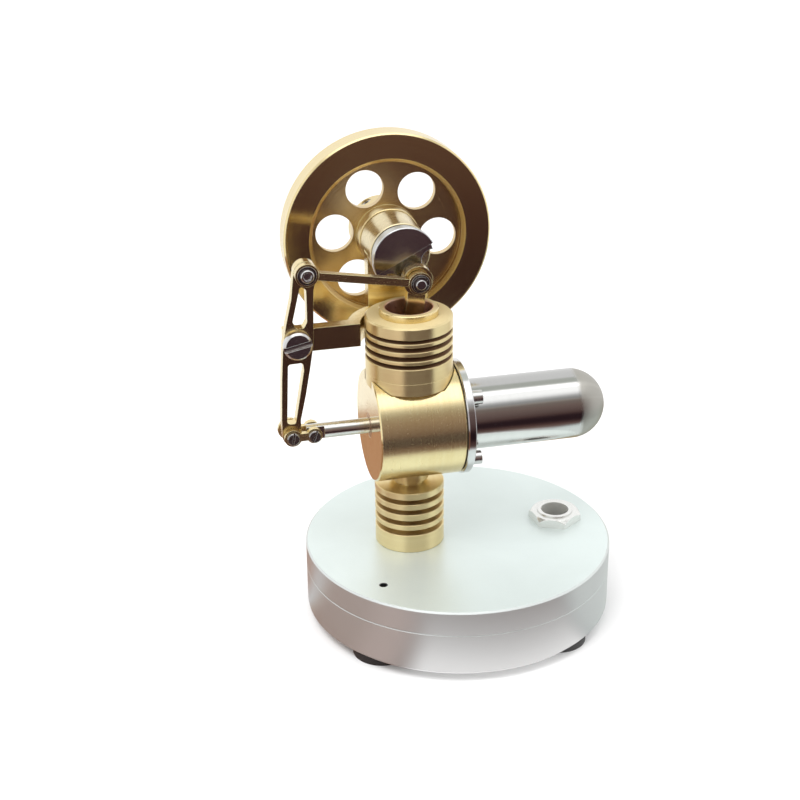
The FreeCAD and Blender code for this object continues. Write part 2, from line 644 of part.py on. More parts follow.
cylinder = on_cylinder("power_cylinder", 0)
radius = dim.cylinder_radius
low_edge, top_edge = dim.cylinder_low_edge, dim.cylinder_top_edge
liner_seat = dim.liner_radius + dim.close_fit
turned(cylinder, [
    (liner_seat, dim.cup_floor), (radius - low_edge, dim.cup_floor),
    (radius, dim.cup_floor + low_edge), (radius, dim.scribe_height - dim.scribe_depth),
    (radius - dim.scribe_depth, dim.scribe_height),
    (radius, dim.scribe_height + dim.scribe_depth),
    *grooved_edge("fin", radius, dim.cylinder_core, dim.fin_edge),
    (radius, dim.cylinder_top - top_edge), (radius - top_edge, dim.cylinder_top),
    (liner_seat, dim.cylinder_top)])
# holes for the bracket screws, from behind
pocket(cylinder, 6.0,
       *screw_pair(dim.bracket_screw_radius + dim.close_fit, dim.bracket_screw_height),
       role="XZ_Plane", lift=-11.6, reverse=True)

liner = on_cylinder("cylinder_liner", 0)
turned(liner, [
    (dim.liner_bore, dim.cup_floor), (dim.liner_radius, dim.cup_floor),
    (dim.liner_radius, dim.liner_top - dim.liner_edge),
    (dim.liner_radius - dim.liner_edge, dim.liner_top),
    (dim.liner_bore + dim.liner_bore_edge, dim.liner_top),
    (dim.liner_bore, dim.liner_top - dim.liner_bore_edge)])

# crank pin, and the wrist pin one connecting rod below it on the cylinder's axis
pin_x = dim.cylinder_x + dim.throw * cosine(dim.crank_phase)
pin_z = dim.shaft_height + dim.throw * sine(dim.crank_phase)
pin_side = pin_x - dim.cylinder_x
wrist_z = pin_z - root(dim.conrod_length * dim.conrod_length - pin_side * pin_side)

piston = on_cylinder("power_piston", wrist_z)
edge = dim.piston_edge
cavity_floor = -dim.piston_below + dim.piston_floor
turned(piston, [
    (0, -dim.piston_below), (dim.piston_radius - edge, -dim.piston_below),
    (dim.piston_radius, -dim.piston_below + edge), (dim.piston_radius, dim.piston_above - edge),
    (dim.piston_radius - edge, dim.piston_above), (dim.piston_cavity, dim.piston_above),
    (dim.piston_cavity, cavity_floor), (0, cavity_floor)])
pocket(piston, THROUGH, circle(0, 0, dim.wrist_radius + dim.close_fit),
       role="XZ_Plane", lift=CLEAR)

wrist = facing("wrist_pin", dim.cylinder_x, dim.engine_y + dim.wrist_length / 2, wrist_z)
pad(wrist, dim.wrist_length, circle(0, 0, dim.wrist_radius))

# --------------------------------------------------------- crank train
# connecting rod: local x points from the crank pin down to the wrist pin
conrod_turn = heading(dim.cylinder_x - pin_x, wrist_z - pin_z)
conrod_back = dim.conrod_front + dim.conrod_thick
big_end_thick = dim.conrod_thick + 2 * dim.big_end_proud
conrod = facing("conrod", pin_x, conrod_back, pin_z, conrod_turn)
half = dim.conrod_width / 2
pad(conrod, dim.conrod_thick, rectangle(0, -half, dim.conrod_length, half))
pad(conrod, dim.conrod_thick, circle(dim.conrod_length, 0, dim.small_end_radius))
pad(conrod, big_end_thick, circle(0, 0, dim.big_end_radius), lift=-dim.big_end_proud)
pocket(conrod, THROUGH, circle(0, 0, dim.big_end_bore + dim.close_fit),
       circle(dim.conrod_length, 0, dim.small_end_bore), lift=CLEAR)

conrod_bush = facing("conrod_bush", pin_x, conrod_back + dim.big_end_proud, pin_z, conrod_turn)
ring(conrod_bush, big_end_thick, dim.big_end_bore, dim.pin_radius + dim.run_fit)

shaft = on_shaft("crankshaft", dim.shaft_back)
length = dim.shaft_back - dim.shaft_front
turned(shaft, [(0, 0), (dim.shaft_radius - dim.shaft_edge, 0),
               (dim.shaft_radius, dim.shaft_edge), (dim.shaft_radius, length), (0, length)])

# crank disc: local x points at the crank pin
disc = on_shaft("crank_disc", dim.crank_disc_back, dim.crank_phase.value)
disc_thick = dim.crank_disc_back - dim.crank_disc_front
full_thick = dim.crank_disc_back - dim.moon_front
edge = dim.crank_disc_edge
turned(disc, [
    (0, 0), (dim.crank_disc_radius - edge, 0), (dim.crank_disc_radius, edge),
    (dim.crank_disc_radius, disc_thick), (dim.moon_radius, disc_thick),
    (dim.moon_radius, full_thick - edge), (dim.moon_radius - edge, full_thick), (0, full_thick)])
# the pin side is cut down, which leaves the half-moon weight opposite it
pocket(disc, dim.crank_disc_front - dim.moon_front, rectangle(-dim.moon_offset, -8, 8, 8),
       lift=full_thick)
pocket(disc, THROUGH, circle(dim.throw, 0, dim.pin_radius + dim.fine_fit), lift=CLEAR)
# two round scallops in the rim, one on each side of the pin
pocket(disc, THROUGH, circle(dim.scallop_along, dim.scallop_side, dim.scallop_radius),
       circle(dim.scallop_along, -dim.scallop_side, dim.scallop_radius), lift=CLEAR)
# socket for the shaft
pocket(disc, dim.crank_disc_back - dim.shaft_front,
       circle(0, 0, dim.shaft_radius + dim.fine_fit), reverse=True)

pin = facing("crank_pin", pin_x, dim.crank_disc_back, pin_z)
length = dim.crank_disc_back - dim.pin_front
groove_radius = dim.pin_radius - dim.pin_groove_depth
turned(pin, [
    (0, 0), (dim.pin_radius, 0), (dim.pin_radius, length - dim.pin_groove_back),
    (groove_radius, length - dim.pin_groove_back), (groove_radius, length - dim.pin_groove_front),
    (dim.pin_radius, length - dim.pin_groove_front), (dim.pin_radius, length - dim.pin_edge),
    (dim.pin_radius - dim.pin_edge, length), (0, length)])

spacer = facing("crank_pin_spacer", pin_x, dim.crank_disc_front, pin_z)
ring(spacer, dim.crank_disc_front - (conrod_back + dim.spacer_gap),
     dim.spacer_radius, dim.pin_radius + dim.fine_fit)

shim = facing("crank_pin_washer", pin_x, dim.conrod_front - dim.shim_offset, pin_z)
ring(shim, dim.shim_thick, dim.shim_radius, dim.pin_radius + dim.fine_fit)

# snap ring with an open side, in the groove at the pin's free end
clip = facing("crank_pin_clip", pin_x, dim.pin_front + dim.clip_offset, pin_z)
ring(clip, dim.clip_thick, dim.clip_radius, dim.pin_radius - dim.clip_bite)
CLIP_OPENING = [(0, -0.42), (2.2, -0.2), (2.2, 0.75), (0, 0.42)]     # x, y from the pin
pocket(clip, THROUGH, polygon(CLIP_OPENING), lift=CLEAR)

# --------------------------------------- bearing case and ball bearings
case = on_shaft("bearing_housing", dim.bearing_back_y)
case_length = dim.bearing_back_y - dim.bearing_front_y
seat_depth = dim.race_width + dim.race_inset
front_seat = case_length - seat_depth
seat_bore = dim.race_outer + dim.close_fit
case_radius, edge = dim.bearing_case_radius, dim.bearing_case_edge
turned(case, [
    (seat_bore, 0), (case_radius - edge, 0), (case_radius, edge),
    (case_radius, case_length - edge), (case_radius - edge, case_length),
    (seat_bore, case_length), (seat_bore, front_seat), (dim.race_outer_bore, front_seat),
    (dim.race_outer_bore, seat_depth), (seat_bore, seat_depth)])

# back and front races in each of the two bodies
race_starts = (dim.race_inset, case_length - dim.race_width - dim.race_inset)
for name, outer, inner in (
        ("bearing_outer_races", dim.race_outer, dim.race_outer_bore),
        ("bearing_inner_races", dim.race_inner, dim.shaft_radius + dim.fine_fit)):
    races = on_shaft(name, dim.bearing_back_y)
    for race_start in race_starts:
        ring(races, dim.race_width, outer, inner, lift=race_start)


def half_disc(x, z, radius):
    """Half a circle closed by a straight edge, which is Edge2."""
    def draw(sketch):
        arc = add_arc(sketch, x, z, radius, -math.pi / 2, math.pi / 2)
        line = add_line(sketch, (x, z + radius), (x, z - radius))
        for rule in (("Coincident", arc, 2, line, 1), ("Coincident", arc, 1, line, 2),
                     ("Vertical", line), ("PointOnObject", arc, 3, line)):
            sketch.addConstraint(Sketcher.Constraint(*rule))
        drive(sketch, "Radius", (arc,), radius)
        pin_point(sketch, arc, 3, x, z)
    return draw


balls = on_shaft("bearing_balls", dim.bearing_back_y)
ball_track = (dim.race_inner + dim.race_outer_bore) / 2
first_balls = [
    revolve(balls, "ball", half_disc(ball_track, race_start + dim.race_width / 2,
                                     dim.ball_radius), axis="Edge2")
    for race_start in race_starts]
polar(balls, first_balls, 7)

# ------------------------------------------------------------- bracket
bracket = on_cylinder("bracket", dim.arm_low)
arm_height = dim.arm_high - dim.arm_low
arm_front = dim.arm_front - dim.engine_y
# saddle round the power cylinder, and the arm that runs left from it
pad(bracket, arm_height, circle(0, 0, dim.saddle_outer))
pad(bracket, arm_height, rectangle(
    dim.arm_left - dim.cylinder_x, arm_front, 0, dim.arm_back - dim.engine_y))
pocket(bracket, THROUGH, circle(0, 0, dim.saddle_inner), lift=FAR)
# the saddle stops at the arm's front face, and on the right in line with the upright
pocket(bracket, THROUGH, rectangle(-14, -14, 14, arm_front), lift=FAR)
pocket(bracket, THROUGH, rectangle(dim.upright_half, 0, 14, 14), lift=FAR)
# fastening boss that reaches the cylinder's wall
pad(bracket, arm_height, rectangle(
    -dim.boss_half, dim.cylinder_radius - dim.boss_sunk,
    dim.boss_half, dim.saddle_outer - dim.boss_short))
pocket(bracket, THROUGH, circle(0, 0, dim.cylinder_radius + dim.close_fit), lift=FAR)
# upright that carries the crankshaft bearing, with a half-round cradle on top
rise = dim.shaft_height - dim.arm_low
pad(bracket, dim.upright_back - dim.upright_front,
    rectangle(-dim.upright_half, 0, dim.upright_half, rise),
    role="XZ_Plane", lift=-(dim.upright_back - dim.engine_y))
pocket(bracket, THROUGH, circle(0, rise, dim.bearing_case_radius + dim.close_fit),
       role="XZ_Plane", lift=-FAR, reverse=True)
# holes: rocker pivot in the arm, two fastening screws behind the cylinder
pocket(bracket, THROUGH,
       circle(dim.pivot_x - dim.cylinder_x, dim.pivot_z - dim.arm_low, dim.pivot_hole),
       *screw_pair(dim.bracket_screw_radius + dim.loose_fit,
                   dim.bracket_screw_height - dim.arm_low),
       role="XZ_Plane", lift=-FAR, reverse=True)

bracket_screws = facing("bracket_screws", dim.cylinder_x, dim.upright_back,
                        dim.bracket_screw_height)
pad(bracket_screws, dim.bracket_screw_head_height, *screw_pair(dim.bracket_screw_head, 0),
    reverse=True)
pad(bracket_screws, dim.bracket_screw_length, *screw_pair(dim.bracket_screw_radius, 0))
pocket(bracket_screws, dim.bracket_socket_depth,
       hexagon(dim.bracket_socket, 0.0, dim.bracket_screw_side),
       hexagon(dim.bracket_socket, 0.0, -dim.bracket_screw_side),
       lift=-dim.bracket_screw_head_height, reverse=True)

# ------------------------------------------------------------ flywheel
# local x points along the set screw, local z forward from the hub's back end
flywheel = on_shaft("flywheel", dim.wheel_hub_back, dim.grub_angle.value)
rim_back = dim.wheel_hub_back - dim.wheel_back
rim_front = dim.wheel_hub_back - dim.wheel_front
boss_front = dim.wheel_hub_back - dim.wheel_boss_front
web_back = rim_back + dim.wheel_rear_depth
web_front = rim_front - dim.wheel_recess_depth
chamfer, edge = dim.wheel_recess_chamfer, dim.wheel_edge
recess_wall = dim.wheel_recess - chamfer
turned(flywheel, [
    (dim.wheel_bore, 0), (dim.wheel_hub - dim.wheel_hub_edge, 0),
    (dim.wheel_hub, dim.wheel_hub_edge), (dim.wheel_hub, web_back),
    (recess_wall, web_back), (recess_wall, rim_back + chamfer), (dim.wheel_recess, rim_back),
    (dim.wheel_radius - edge, rim_back), (dim.wheel_radius, rim_back + edge),
    (dim.wheel_radius, rim_front - edge), (dim.wheel_radius - edge, rim_front),
    (dim.wheel_recess, rim_front), (recess_wall, rim_front - chamfer), (recess_wall, web_front),
    (dim.wheel_boss, web_front), (dim.wheel_boss, boss_front - dim.wheel_boss_edge),
    (dim.wheel_boss - dim.wheel_boss_edge, boss_front), (dim.wheel_bore, boss_front)])
hole_phase = dim.wheel_hole_phase - dim.grub_angle
hole = pocket(flywheel, THROUGH, circle(
    dim.wheel_hole_pitch * cosine(hole_phase), dim.wheel_hole_pitch * sine(hole_phase),
    dim.wheel_hole_radius), lift=FAR)
polar(flywheel, [hole], 6)
# tapped hole for the set screw; its axis is the rectangle's first edge
grub_at = dim.wheel_hub_back - dim.grub_y
revolve(flywheel, "flywheel_grub_hole",
        rectangle(dim.wheel_bore - 0.4, grub_at, dim.wheel_hub + 1, grub_at + dim.grub_radius),
        axis="Edge1", kind="Groove")

# set screw: local z points outwards from the shaft's axis
grub_angle = math.radians(dim.grub_angle.value)
outwards = FreeCAD.Vector(math.cos(grub_angle), 0, math.sin(grub_angle))
grub = new_body("flywheel_grub_screw", dim.cylinder_x, dim.grub_y, dim.shaft_height,
                FreeCAD.Rotation(FreeCAD.Vector(0, 0, 1), outwards))
grub_low = dim.shaft_radius + dim.free_fit
grub_top = dim.wheel_hub - dim.grub_sunk
thread = dim.grub_radius - dim.seat_fit
turned(grub, [(0, grub_low), (dim.grub_radius - dim.grub_cone, grub_low),
              (thread, grub_low + dim.grub_cone), (thread, grub_top), (0, grub_top)])
pocket(grub, dim.grub_socket_depth, hexagon(dim.grub_socket), lift=grub_top)

# ------------------------------------------- link from crank to rocker
# local x points from the crank pin to the rocker's top
across, rise = dim.top_x - pin_x, dim.top_z - pin_z
link_length = root(across * across + rise * rise)
link_turn = heading(across, rise)
link_back = dim.link_front + dim.link_thick
link = facing("link_bar", pin_x, link_back, pin_z, link_turn)
half = dim.link_bar / 2
pad(link, dim.link_thick - 2 * dim.link_bar_inset, rectangle(0, -half, link_length, half),
    lift=dim.link_bar_inset)
for x in (0, link_length):
    pad(link, dim.link_thick, circle(x, 0, dim.link_eye))
eye_bore = dim.link_eye_bore + dim.close_fit
pocket(link, THROUGH, circle(0, 0, eye_bore), circle(link_length, 0, eye_bore), lift=CLEAR)

for name, x, z, proud, bore in (
        ("link_bush_rocker", dim.top_x, dim.top_z, dim.link_ring_proud, dim.link_ring_bore),
        ("link_bush_crank", pin_x, pin_z, dim.link_pin_ring_proud,
         dim.pin_radius + dim.run_fit)):
    link_bush = facing(name, x, link_back, z, link_turn)
    ring(link_bush, dim.link_thick + proud, dim.link_eye_bore, bore)

# -------------------------------------------------------------- rocker
# Open, kite-shaped lever. Corners are x, z from the pivot.
# outer outline: down the left side, then up the right side
SIDES = [
    (-0.19, 12.97), (-0.72, 8.39), (-1.79, 3.81), (-2.48, 0.08),
    (-2.93, -6.61), (-3.26, -14.43), (-3.22, -17.9),
    (0.24, -17.9), (0.21, -14.86), (1.30, -10.03), (2.20, -5.23),
    (2.99, -0.49), (3.14, 4.25), (3.33, 9.86), (4.06, 12.6)]
# window above the pivot and window below it
UPPER = [(0.97, 10.83), (2.00, 9.99), (1.97, 3.99), (1.39, 2.85), (-0.04, 2.87), (-0.61, 4.25)]
LOWER = [(-1.73, -3.83), (0.98, -3.74), (1.11, -5.11), (-0.76, -15.55), (-2.30, -15.40)]
WINDOW_CORNER = 0.5

rocker_back = dim.rocker_front + dim.rocker_thick
rocker = facing("rocker", dim.pivot_x, rocker_back, dim.pivot_z)
top = (dim.top_x - dim.pivot_x, dim.top_z - dim.pivot_z)
low = (dim.low_x - dim.pivot_x, dim.low_z - dim.pivot_z)
for outline in (polygon(SIDES), circle(*top, dim.rocker_top_radius),
                circle(*low, dim.rocker_low_radius)):
    pad(rocker, dim.rocker_thick, outline)
pocket(rocker, THROUGH, polygon(rounded(UPPER, WINDOW_CORNER)),
       polygon(rounded(LOWER, WINDOW_CORNER)), lift=CLEAR)
pocket(rocker, THROUGH, circle(0, 0, dim.rocker_pivot_bore),
       circle(*top, dim.top_screw_radius + dim.close_fit),
       circle(*low, dim.bone_pin_radius + dim.close_fit), lift=CLEAR)

pivot = facing("rocker_pivot_screw", dim.pivot_x, dim.arm_back, dim.pivot_z)
shoulder = dim.arm_back - dim.arm_front
head_back = dim.arm_back - dim.pivot_head_gap
head_front = dim.arm_back - dim.pivot_head_front
turned(pivot, [
    (0, 0), (dim.pivot_shank, 0), (dim.pivot_shank, shoulder), (dim.pivot_shoulder, shoulder),
    (dim.pivot_shoulder, head_back), (dim.pivot_head - dim.pivot_head_back_edge, head_back),
    (dim.pivot_head, head_back + dim.pivot_head_back_edge),
    (dim.pivot_head, head_front - dim.pivot_head_edge),
    (dim.pivot_head - dim.pivot_head_edge, head_front), (0, head_front)])
pocket(pivot, dim.pivot_slot_depth, slot(3.2, dim.pivot_slot / 2, dim.pivot_slot_angle),
       lift=head_front)

washer = facing("rocker_washer", dim.pivot_x, dim.arm_front, dim.pivot_z)
ring(washer, dim.arm_front - rocker_back - dim.loose_fit,
     dim.pivot_washer, dim.pivot_shoulder + dim.seat_fit)

top_screw = facing("rocker_top_screw", dim.top_x, rocker_back, dim.top_z)
length = rocker_back - dim.top_screw_front
headed_pin(top_screw, dim.top_screw_radius, dim.top_screw_head, length,
           head_height=0.5, edge=0.15)
pocket(top_screw, dim.top_socket_depth, hexagon(dim.top_socket, 12.0), lift=length)

# ------------------------------------------------------- dogbone links
# two links join the rocker's foot to the flattened end of the rod
across, rise = dim.rod_pin_x - dim.low_x, dim.body_axis - dim.low_z
bone_turn = heading(across, rise)
bone_length = root(across * across + rise * rise)
half = dim.bone_waist / 2
for name, front in (("dogbone_front", dim.bone_front_y), ("dogbone_rear", dim.bone_rear_y)):
    bone = facing(name, dim.low_x, front + dim.bone_thick, dim.low_z, bone_turn)
    for outline in (rectangle(0, -half, bone_length, half), circle(0, 0, dim.bone_left_eye),
                    circle(bone_length, 0, dim.bone_right_eye)):
        pad(bone, dim.bone_thick, outline)
    pocket(bone, THROUGH, circle(0, 0, dim.bone_low_bore),
           circle(bone_length, 0, dim.bone_rod_bore), lift=CLEAR)

length = dim.bone_nut_back - dim.bone_head_front
for name, x, z, slot_angle in (
        ("dogbone_pin_rocker", dim.low_x, dim.low_z, 80.0),
        ("dogbone_pin_rod", dim.rod_pin_x, dim.body_axis, 70.0)):
    bone_pin = facing(name, x, dim.bone_nut_back, z)
    headed_pin(bone_pin, dim.bone_pin_radius, dim.bone_head, length,
               head_height=0.55, edge=0.18)
    pocket(bone_pin, dim.bone_slot_depth, slot(1.6, dim.bone_slot / 2, slot_angle), lift=length)

nut_bore = dim.bone_pin_radius + dim.fine_fit
nut_thick = dim.bone_round_nut_thick
back_edge, front_edge = 0.15, 0.1
round_nut = facing("dogbone_nut_rocker", dim.low_x, dim.bone_nut_back, dim.low_z)
turned(round_nut, [
    (nut_bore, 0), (dim.bone_round_nut - back_edge, 0), (dim.bone_round_nut, back_edge),
    (dim.bone_round_nut, nut_thick - front_edge),
    (dim.bone_round_nut - front_edge, nut_thick), (nut_bore, nut_thick)])

hex_nut = facing("dogbone_nut_rod", dim.rod_pin_x, dim.bone_nut_back - dim.bone_nut_inset,
                 dim.body_axis)
pad(hex_nut, dim.bone_nut_thick, hexagon(dim.bone_nut, 20.0), circle(0, 0, nut_bore))

# ----------------------------------------------------- check and write
doc.recompute()
faults = ["%s %s" % (item.Name, item.State) for item in doc.Objects
          if "Invalid" in item.State or "Error" in item.State]
for body in bodies:
    if body.Shape.isNull() or not body.Shape.isValid() or not body.Shape.Solids:
        faults.append("%s has no valid solid" % body.Label)
if faults:
    raise RuntimeError("; ".join(faults))

os.makedirs("parts", exist_ok=True)
for body in bodies:
    body.Shape.exportStep("parts/%s.step" % body.Label)
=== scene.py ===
# A small brass Stirling engine standing on a round aluminium tank with a wick tube.
# The floor is z = 0 and the viewer is on the -Y side. The displacer housing and hot cap
# lie along X with the cap to the right (+X), the cylinder and column stand along Z, and
# the flywheel turns about Y. Sizes are in mm unless noted; Blender works in metres.
import math
import bpy
from mathutils import Vector, Matrix

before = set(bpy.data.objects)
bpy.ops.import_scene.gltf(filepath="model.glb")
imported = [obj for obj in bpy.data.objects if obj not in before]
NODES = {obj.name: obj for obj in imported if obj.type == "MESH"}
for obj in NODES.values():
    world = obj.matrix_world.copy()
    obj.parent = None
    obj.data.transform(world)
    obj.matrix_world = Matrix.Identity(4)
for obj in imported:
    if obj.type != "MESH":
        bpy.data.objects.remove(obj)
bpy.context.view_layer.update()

MM = 0.001                      # metres in a millimetre
FOOT = 1.5                      # rubber foot height
ENGINE_Y = 1.15                 # plane of the engine
WHEEL_X = -8.95                 # shared by the power cylinder and the flywheel
COLUMN_X = -9.1
HOUSING_Z = FOOT + 37.23        # axis of the displacer housing
WHEEL_Z = FOOT + 67.83          # axis of the flywheel
WICK_CENTRE = (20.0, 1.1, 0)

FALL = (1.0, 0.0)               # output range of a remap that drops from one to nought


# ------------------------------------------------------------- node wiring
class Net:
    """Short-hand for wiring the shader nodes of one material or world."""

    def __init__(self, owner, output="ShaderNodeOutputMaterial"):
        owner.use_nodes = True
        self.tree = owner.node_tree
        self.tree.nodes.clear()
        self.output = self.put(output)

    def put(self, kind, inputs=None, **attrs):
        """New node, with its attributes set and its inputs fed by name or number."""
        node = self.tree.nodes.new(kind)
        for key, value in attrs.items():
            setattr(node, key, value)
        self.fill(node, inputs or {})
        return node

    def fill(self, node, inputs):
        for key, value in inputs.items():
            self.feed(node.inputs[key], value)

    def feed(self, socket, value):
        """Link a socket, or set its value; a colour gets alpha 1, None keeps the default."""
        if value is None:
            return
        if isinstance(value, bpy.types.NodeSocket):
            self.tree.links.new(value, socket)
            return
        if isinstance(value, tuple) and len(socket.default_value) == 4 and len(value) == 3:
            value = value + (1.0,)
        socket.default_value = value

    def show(self, shader):
        self.feed(self.output.inputs[0], shader.outputs[0])

    def math(self, operation, a, b=None):
        return self.put("ShaderNodeMath", {0: a, 1: b}, operation=operation).outputs[0]

    def add(self, a, b):
        return self.math("ADD", a, b)

    def sub(self, a, b):
        return self.math("SUBTRACT", a, b)

    def mul(self, a, b):
        return self.math("MULTIPLY", a, b)

    def swing(self, value, amount):
        """Spread a 0..1 value evenly about nought, amount wide."""
        return self.mul(self.sub(value, 0.5), amount)

    def vmath(self, operation, a, b=None, out=0):
        return self.put("ShaderNodeVectorMath", {0: a, 1: b}, operation=operation).outputs[out]

    def split(self, vector):
        return tuple(self.put("ShaderNodeSeparateXYZ", {0: vector}).outputs)

    def join(self, x, y, z):
        return self.put("ShaderNodeCombineXYZ", {0: x, 1: y, 2: z}).outputs[0]

    def radius(self, u, v):
        return self.math("SQRT", self.add(self.mul(u, u), self.mul(v, v)))

    def noise(self, vector, scale, detail, rough, distort=0.0):
        return self.put("ShaderNodeTexNoise", {
            "Vector": vector, "Scale": scale, "Detail": detail,
            "Roughness": rough, "Distortion": distort}).outputs["Fac"]

    def voronoi(self, vector, scale):
        return self.put("ShaderNodeTexVoronoi",
                        {"Vector": vector, "Scale": scale}).outputs["Distance"]

    def remap(self, value, span, to=(0.0, 1.0), kind="SMOOTHSTEP"):
        return self.put("ShaderNodeMapRange", {
            "Value": value, "From Min": span[0], "From Max": span[1],
            "To Min": to[0], "To Max": to[1]},
            interpolation_type=kind, clamp=True).outputs["Result"]

    def band(self, value, rise, fall):
        """One between the rise and the fall, nought outside them."""
        return self.mul(self.remap(value, span=rise), self.remap(value, span=fall, to=FALL))

    def ramp(self, factor, stops, span, scale=1.0):
        """Colour ramp. stops are (place within span, grey or colour); scale divides colours."""
        node = self.put("ShaderNodeValToRGB")
        elements = node.color_ramp.elements
        while len(elements) > 1:
            elements.remove(elements[-1])
        for i, (place, colour) in enumerate(stops):
            position = (place - span[0]) / (span[1] - span[0])
            stop = elements[0] if i == 0 else elements.new(position)
            stop.position = position
            if not isinstance(colour, tuple):
                colour = (colour,) * 3
            stop.color = tuple(c / scale for c in colour) + (1.0,)
        self.feed(node.inputs[0], factor)
        return node.outputs[0]

    def mix(self, factor, a, b):
        # inputs 6 and 7 and output 2 are the colour sockets
        return self.put("ShaderNodeMix", {0: factor, 6: a, 7: b}, data_type="RGBA",
                        clamp_factor=True).outputs[2]

    def tone_mix(self, tone, base, deep):
        return self.mix(self.remap(tone, span=(-0.5, 0.5), kind="LINEAR"), base, deep)

    def edges(self, radius):
        """Bevelled normal, true normal, and how far the first leans near a corner."""
        soft = self.put("ShaderNodeBevel", {"Radius": radius * MM}, samples=4).outputs[0]
        normal = self.put("ShaderNodeNewGeometry").outputs["Normal"]
        return soft, normal, self.sub(1.0, self.vmath("DOT_PRODUCT", soft, normal, out=1))

    def bump(self, height, strength, depth, normal=None):
        return self.put("ShaderNodeBump", {
            "Strength": strength, "Distance": depth * MM,
            "Height": height, "Normal": normal}).outputs[0]

    def glossy_switch(self, plain, glossy):
        """Show one shader to glossy rays and the other to all the rest."""
        path = self.put("ShaderNodeLightPath")
        self.show(self.put("ShaderNodeMixShader", {
            0: path.outputs["Is Glossy Ray"], 1: plain.outputs[0], 2: glossy.outputs[0]}))


def start_surface(name):
    """New material with a Principled shader; also returns the object position in mm."""
    material = bpy.data.materials.new(name)
    net = Net(material)
    bsdf = net.put("ShaderNodeBsdfPrincipled")
    net.show(bsdf)
    coords = net.put("ShaderNodeTexCoord")
    return material, net, bsdf, net.vmath("MULTIPLY", coords.outputs["Object"], (1 / MM,) * 3)


def scaled(colour, gain, lift=0.0):
    return tuple(min(1.0, c * gain + lift) for c in colour)


# --------------------------------------------------------- kinds of surface
def turned_lines(net, position, axis, line):
    """Noise space stretched into rings about the axis, with the radius and height z."""
    x, y, z = net.split(position)
    u, v, along = {"X": (y, z, x), "Y": (x, z, y), "Z": (x, y, z)}[axis]
    radius = net.radius(u, v)
    angle = net.math("ARCTAN2", v, u)
    cosine, sine = net.math("COSINE", angle), net.math("SINE", angle)
    lines = net.join(net.mul(radius, line), net.mul(along, line), net.mul(cosine, 0.9))
    # the drift round the axis keeps the rings from being perfectly even
    drift = net.join(net.mul(sine, 0.0), net.mul(sine, 0.6), 0.0)
    return net.vmath("ADD", lines, drift), radius, z


def metal(name, base, deep, rough, rough_var, line, aniso=0.0, axis=None, centre=(0, 0, 0),
          brush=None, line_amp=0.5, bump=0.35, blotch=0.12, edge=0.35, edge_r=0.10,
          painted_groove_shade=None, metallic=1.0, spots=0.0, matt_top=0.0, extra=None):
    """Metal finish, mottled between base and deep, with edges brightened partly as wear and
    partly as a painted highlight.

    axis and centre make turned rings, brush makes straight lines along an axis, and line
    is their density. groove darkens what lies inside a radius between two heights.
    matt_top dulls faces that look up. extra(net, position, radius, colour, rough)
    returns a changed colour and roughness."""
    material, net, bsdf, position = start_surface(name)
    position = net.vmath("SUBTRACT", position, centre)
    if axis:
        lines, radius, z = turned_lines(net, position, axis, line)
    else:
        stretch = tuple(0.35 if side == brush else line for side in "XYZ")
        lines = net.vmath("MULTIPLY", position, stretch)
    fine = net.noise(lines, scale=1.0, detail=3.0, rough=0.65)
    coarse = net.noise(net.vmath("MULTIPLY", lines, (0.21,) * 3),
                       scale=1.0, detail=2.0, rough=0.5)
    cloud = net.noise(position, scale=0.16, detail=3.0, rough=0.55, distort=0.4)
    smear = net.noise(position, scale=0.9, detail=4.0, rough=0.6, distort=1.2)

    soft, normal, lean = net.edges(edge_r)
    patchy = net.remap(smear, span=(0.25, 0.75), to=(0.55, 1.25))
    worn_and_lit_edge = net.remap(net.mul(lean, patchy), span=(0.01, 0.20))

    tone = net.add(net.swing(coarse, line_amp), net.swing(cloud, blotch * 4.0))
    colour = net.tone_mix(tone, base, deep)
    # edges brightened: partly wear, partly a painted highlight where edges catch the light
    colour = net.mix(net.mul(worn_and_lit_edge, edge), colour, scaled(base, gain=1.22, lift=0.03))
    # painted shade: the floors of the grooves between fins are darkened where shade falls
    if painted_groove_shade:
        rim, low, high = painted_groove_shade["radius"], painted_groove_shade["low"], painted_groove_shade["high"]
        inside = net.remap(radius, span=(rim - painted_groove_shade["fade"], rim), to=FALL)
        between = net.band(z, rise=(low, low + 0.1), fall=(high - 0.1, high))
        colour = net.mix(net.mul(inside, between), colour, painted_groove_shade["colour"])
    if spots:
        specks = net.remap(net.voronoi(position, scale=0.55), span=(0.03, 0.09),
                           to=(spots, 0.0))
        colour = net.mix(specks, colour, deep)

    # roughness follows the lines and smears, and the brightened edges (wear and painted
    # highlight) are a little rougher
    rough = net.add(rough, net.swing(fine, rough_var * 2.0))
    rough = net.add(rough, net.swing(smear, rough_var * 1.6))
    rough = net.add(rough, net.mul(worn_and_lit_edge, 0.06))
    rough = net.math("MAXIMUM", rough, 0.03)
    if extra:
        colour, rough = extra(net, position, radius, colour, rough)
    if matt_top:
        top = net.remap(net.split(normal)[2], span=(0.75, 0.92))
        rough = net.add(rough, net.mul(top, 0.22))
        metallic = net.sub(metallic, net.mul(top, matt_top))
    if axis:
        tangent = net.put("ShaderNodeTangent", direction_type="RADIAL", axis=axis)
        net.fill(bsdf, {"Tangent": tangent.outputs[0], "Anisotropic": aniso,
                        "Anisotropic Rotation": 0.25})
    height = net.add(fine, net.mul(coarse, 0.6))
    net.fill(bsdf, {"Base Color": colour, "Roughness": rough, "Metallic": metallic,
                    "Normal": net.bump(height, strength=bump, depth=0.04, normal=soft)})
    return material


